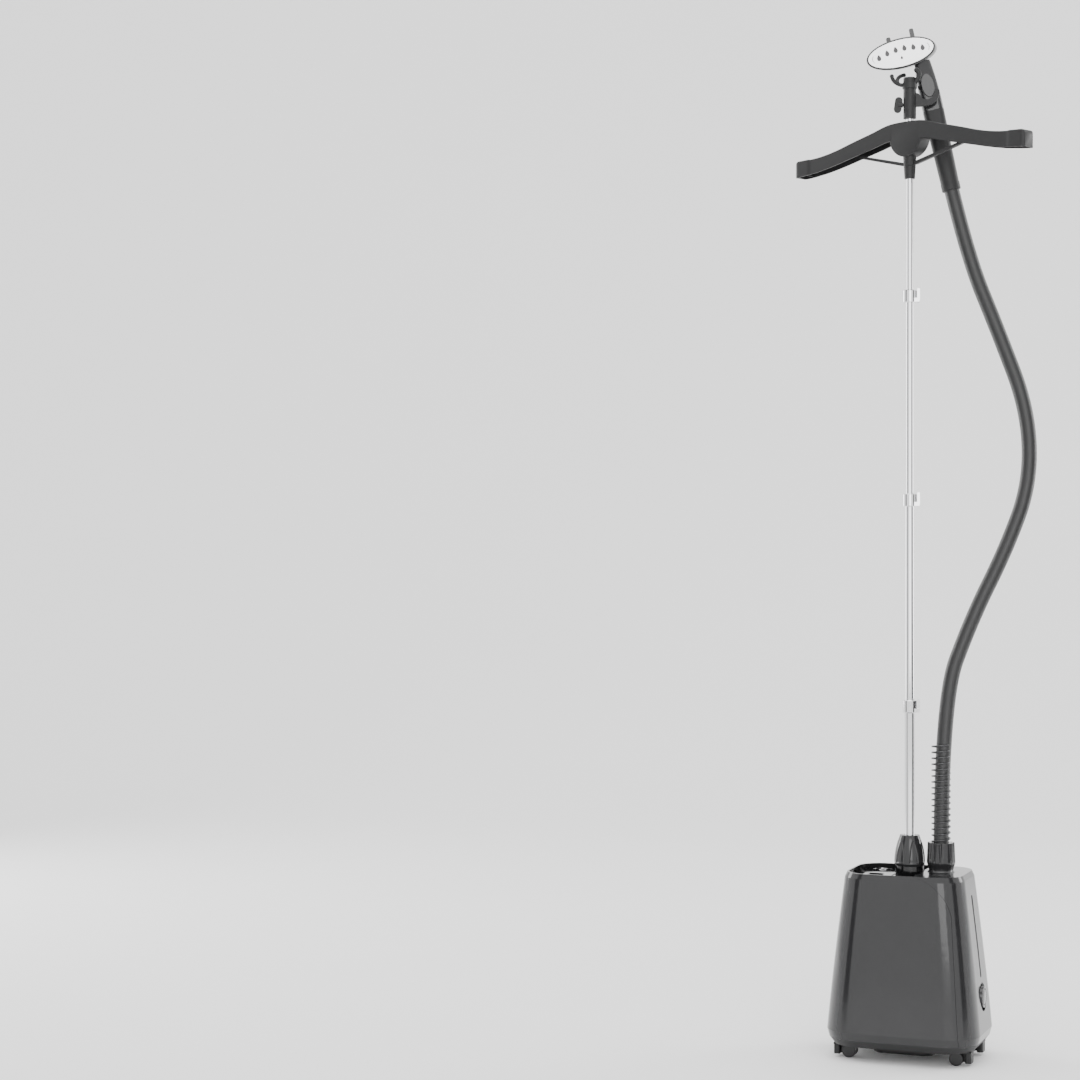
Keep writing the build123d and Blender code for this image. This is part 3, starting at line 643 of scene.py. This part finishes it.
def make_plate_details():
    """Drop-shaped steam holes in an arc, a small one below, and a mark near each end. The holes are
    flat black discs on the plate's face; their black is partly the shell seen through the holes and
    partly painted shade of the holes' depth.
    """
    offsets = [(step - 2.5) * HOLE_PITCH for step in range(6)]
    spots = [(right, 0.006 - right ** 2 / 0.19, 1.0) for right in offsets]
    spots.append((0, -0.008, 0.55))
    for index, (right, high, size) in enumerate(spots):
        rings = []
        for lift, grow in ((0.0, 1.0), (0.0002, 0.96), (0.0002, 0.9)):
            ring = []
            for k in range(28):
                angle = tau * k / 28
                wide = HOLE_HALF_WIDE * size * grow * cos(angle)
                tall = HOLE_HALF_TALL * size * grow * sin(angle)
                if sin(angle) > 0:
                    tall *= 1 + 0.5 * sin(angle)
                    wide *= 1 - 0.35 * sin(angle) ** 2
                ring.append(on_plate(right + wide, high + tall, FACE + lift))
            rings.append(ring)
        # flat black disc on the plate's face: the black of the shell behind the hole plus painted
        # shade of the hole's depth
        hole = link(f"steam_hole_{index + 1}", grid_mesh("hole", rings, caps=(False, True)), DECK)
        piece(hole, "wand", "deck_black")
    for name, way in (("left", -1), ("right", 1)):
        path = []
        for k in range(9):
            angle = radians(60) * (k / 8 - 0.5)
            path.append(on_plate(way * 0.0455 * cos(angle * 0.6), 0.011 * sin(angle),
                                 FACE + 0.0001))
        mark = tube_mesh("plate_mark_" + name, path, 0.0005, STEEL, segments=8)
        piece(mark, "wand", "steel")


def make_plate_rim():
    """Black bead round the edge of the steam plate."""
    path = []
    for k in range(121):
        angle = tau * k / 120
        path.append(on_plate(0.0529 * cos(angle), 0.0219 * sin(angle), -0.0008))
    rim = tube_mesh("steam_plate_rim", path, 0.0013, DECK, segments=12, capped=False)
    piece(rim, "wand", "deck_black")


make_plate_details()
make_plate_rim()


# ---- power button -------------------------------------------------------------------------
def make_power_icon():
    """Open ring and stroke of a plain power mark on the button."""
    centre = middle("power_button")
    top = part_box("power_button")[1][2] + 0.0001
    ring_r, line_r = 0.0052, 0.0004
    arc = []
    for k in range(33):
        angle = radians(125) + radians(290) * k / 32
        arc.append((centre[0] + ring_r * cos(angle), centre[1] - ring_r * sin(angle), top))
    mark = tube_mesh("power_mark_ring", arc, line_r, PLATE, segments=8)
    ends = [(centre[0], centre[1] + 0.0062, top), (centre[0], centre[1] + 0.0015, top)]
    stroke = tube_mesh("power_mark_stroke", ends, line_r, PLATE, segments=8)
    piece(mark, "power_button", "plate_silver")
    piece(stroke, "power_button", "plate_silver")


make_power_icon()


# ---- floor and light ----------------------------------------------------------------------
def make_floor():
    """Pale floor that curves up into the background."""
    material = grained("floor", (0.93, 0.93, 0.93), 0.7, spread=0.05, scale=3, bump=0.0, tint=0.01)
    size, back, tall, curve = 9.0, 5.0, 9.0, 2.0
    turn = Matrix.Rotation(radians(VIEW_TURN), 3, "Z")
    rows = [(-size, 0)]
    for k in range(13):
        angle = radians(90) * k / 12
        rows.append((back - curve + curve * sin(angle), curve - curve * cos(angle)))
    rows.append((back, tall))
    rings = [[turn @ Vector((x, y, z)) for x in (-size, size)] for y, z in rows]
    floor = link("floor", grid_mesh("floor", rings, closed_rings=False), material)


def add_light(name, turn, height, distance, size, power, aim=(0, 0, 0.8)):
    """Rectangular soft light, turn degrees round from the camera's side."""
    data = bpy.data.lights.new(name, "AREA")
    data.shape = "RECTANGLE"
    data.size, data.size_y = size
    data.energy = power
    lamp = bpy.data.objects.new(name, data)
    bpy.context.scene.collection.objects.link(lamp)
    angle = radians(VIEW_TURN + turn)
    lamp.location = (distance * sin(angle), -distance * cos(angle), height)
    lamp.rotation_euler = (Vector(aim) - lamp.location).to_track_quat("-Z", "Y").to_euler()


def make_light():
    """Even white surroundings, with a soft light in front, one above and a strip each side."""
    world = bpy.data.worlds.new("studio")
    bpy.context.scene.world = world
    world.use_nodes = True
    background = world.node_tree.nodes["Background"]
    background.inputs["Color"].default_value = (1, 1, 1, 1)
    background.inputs["Strength"].default_value = 1.7
    add_light("front", 8, 1.6, 4.6, (2.2, 2.6), 60)
    add_light("left_strip", -118, 1.5, 3.2, (0.9, 2.4), 45)
    add_light("right_strip", 118, 1.5, 3.2, (0.9, 2.4), 45)
    add_light("top", 0, 4.2, 0.8, (2.5, 2.5), 50)


def make_flags():
    """Dark studio cards, seen only in reflections, that draw dark lines along the corners."""
    dark = grained("flag", (0.01, 0.01, 0.01), 0.9, spread=0.02, scale=4, bump=0.0)
    distance, low, high = 2.3, 0.02, 2.4
    for name, turn in (("flag_left", -62), ("flag_right", 66)):
        angles = [radians(VIEW_TURN + turn + (step - 4) * 2.4) for step in range(9)]
        rows = [[(distance * sin(angle), -distance * cos(angle), z) for angle in angles]
                for z in (low, high)]
        flag = link(name, grid_mesh(name, rows, closed_rings=False), dark)
        flag.visible_camera = False


make_floor()
make_light()
make_flags()
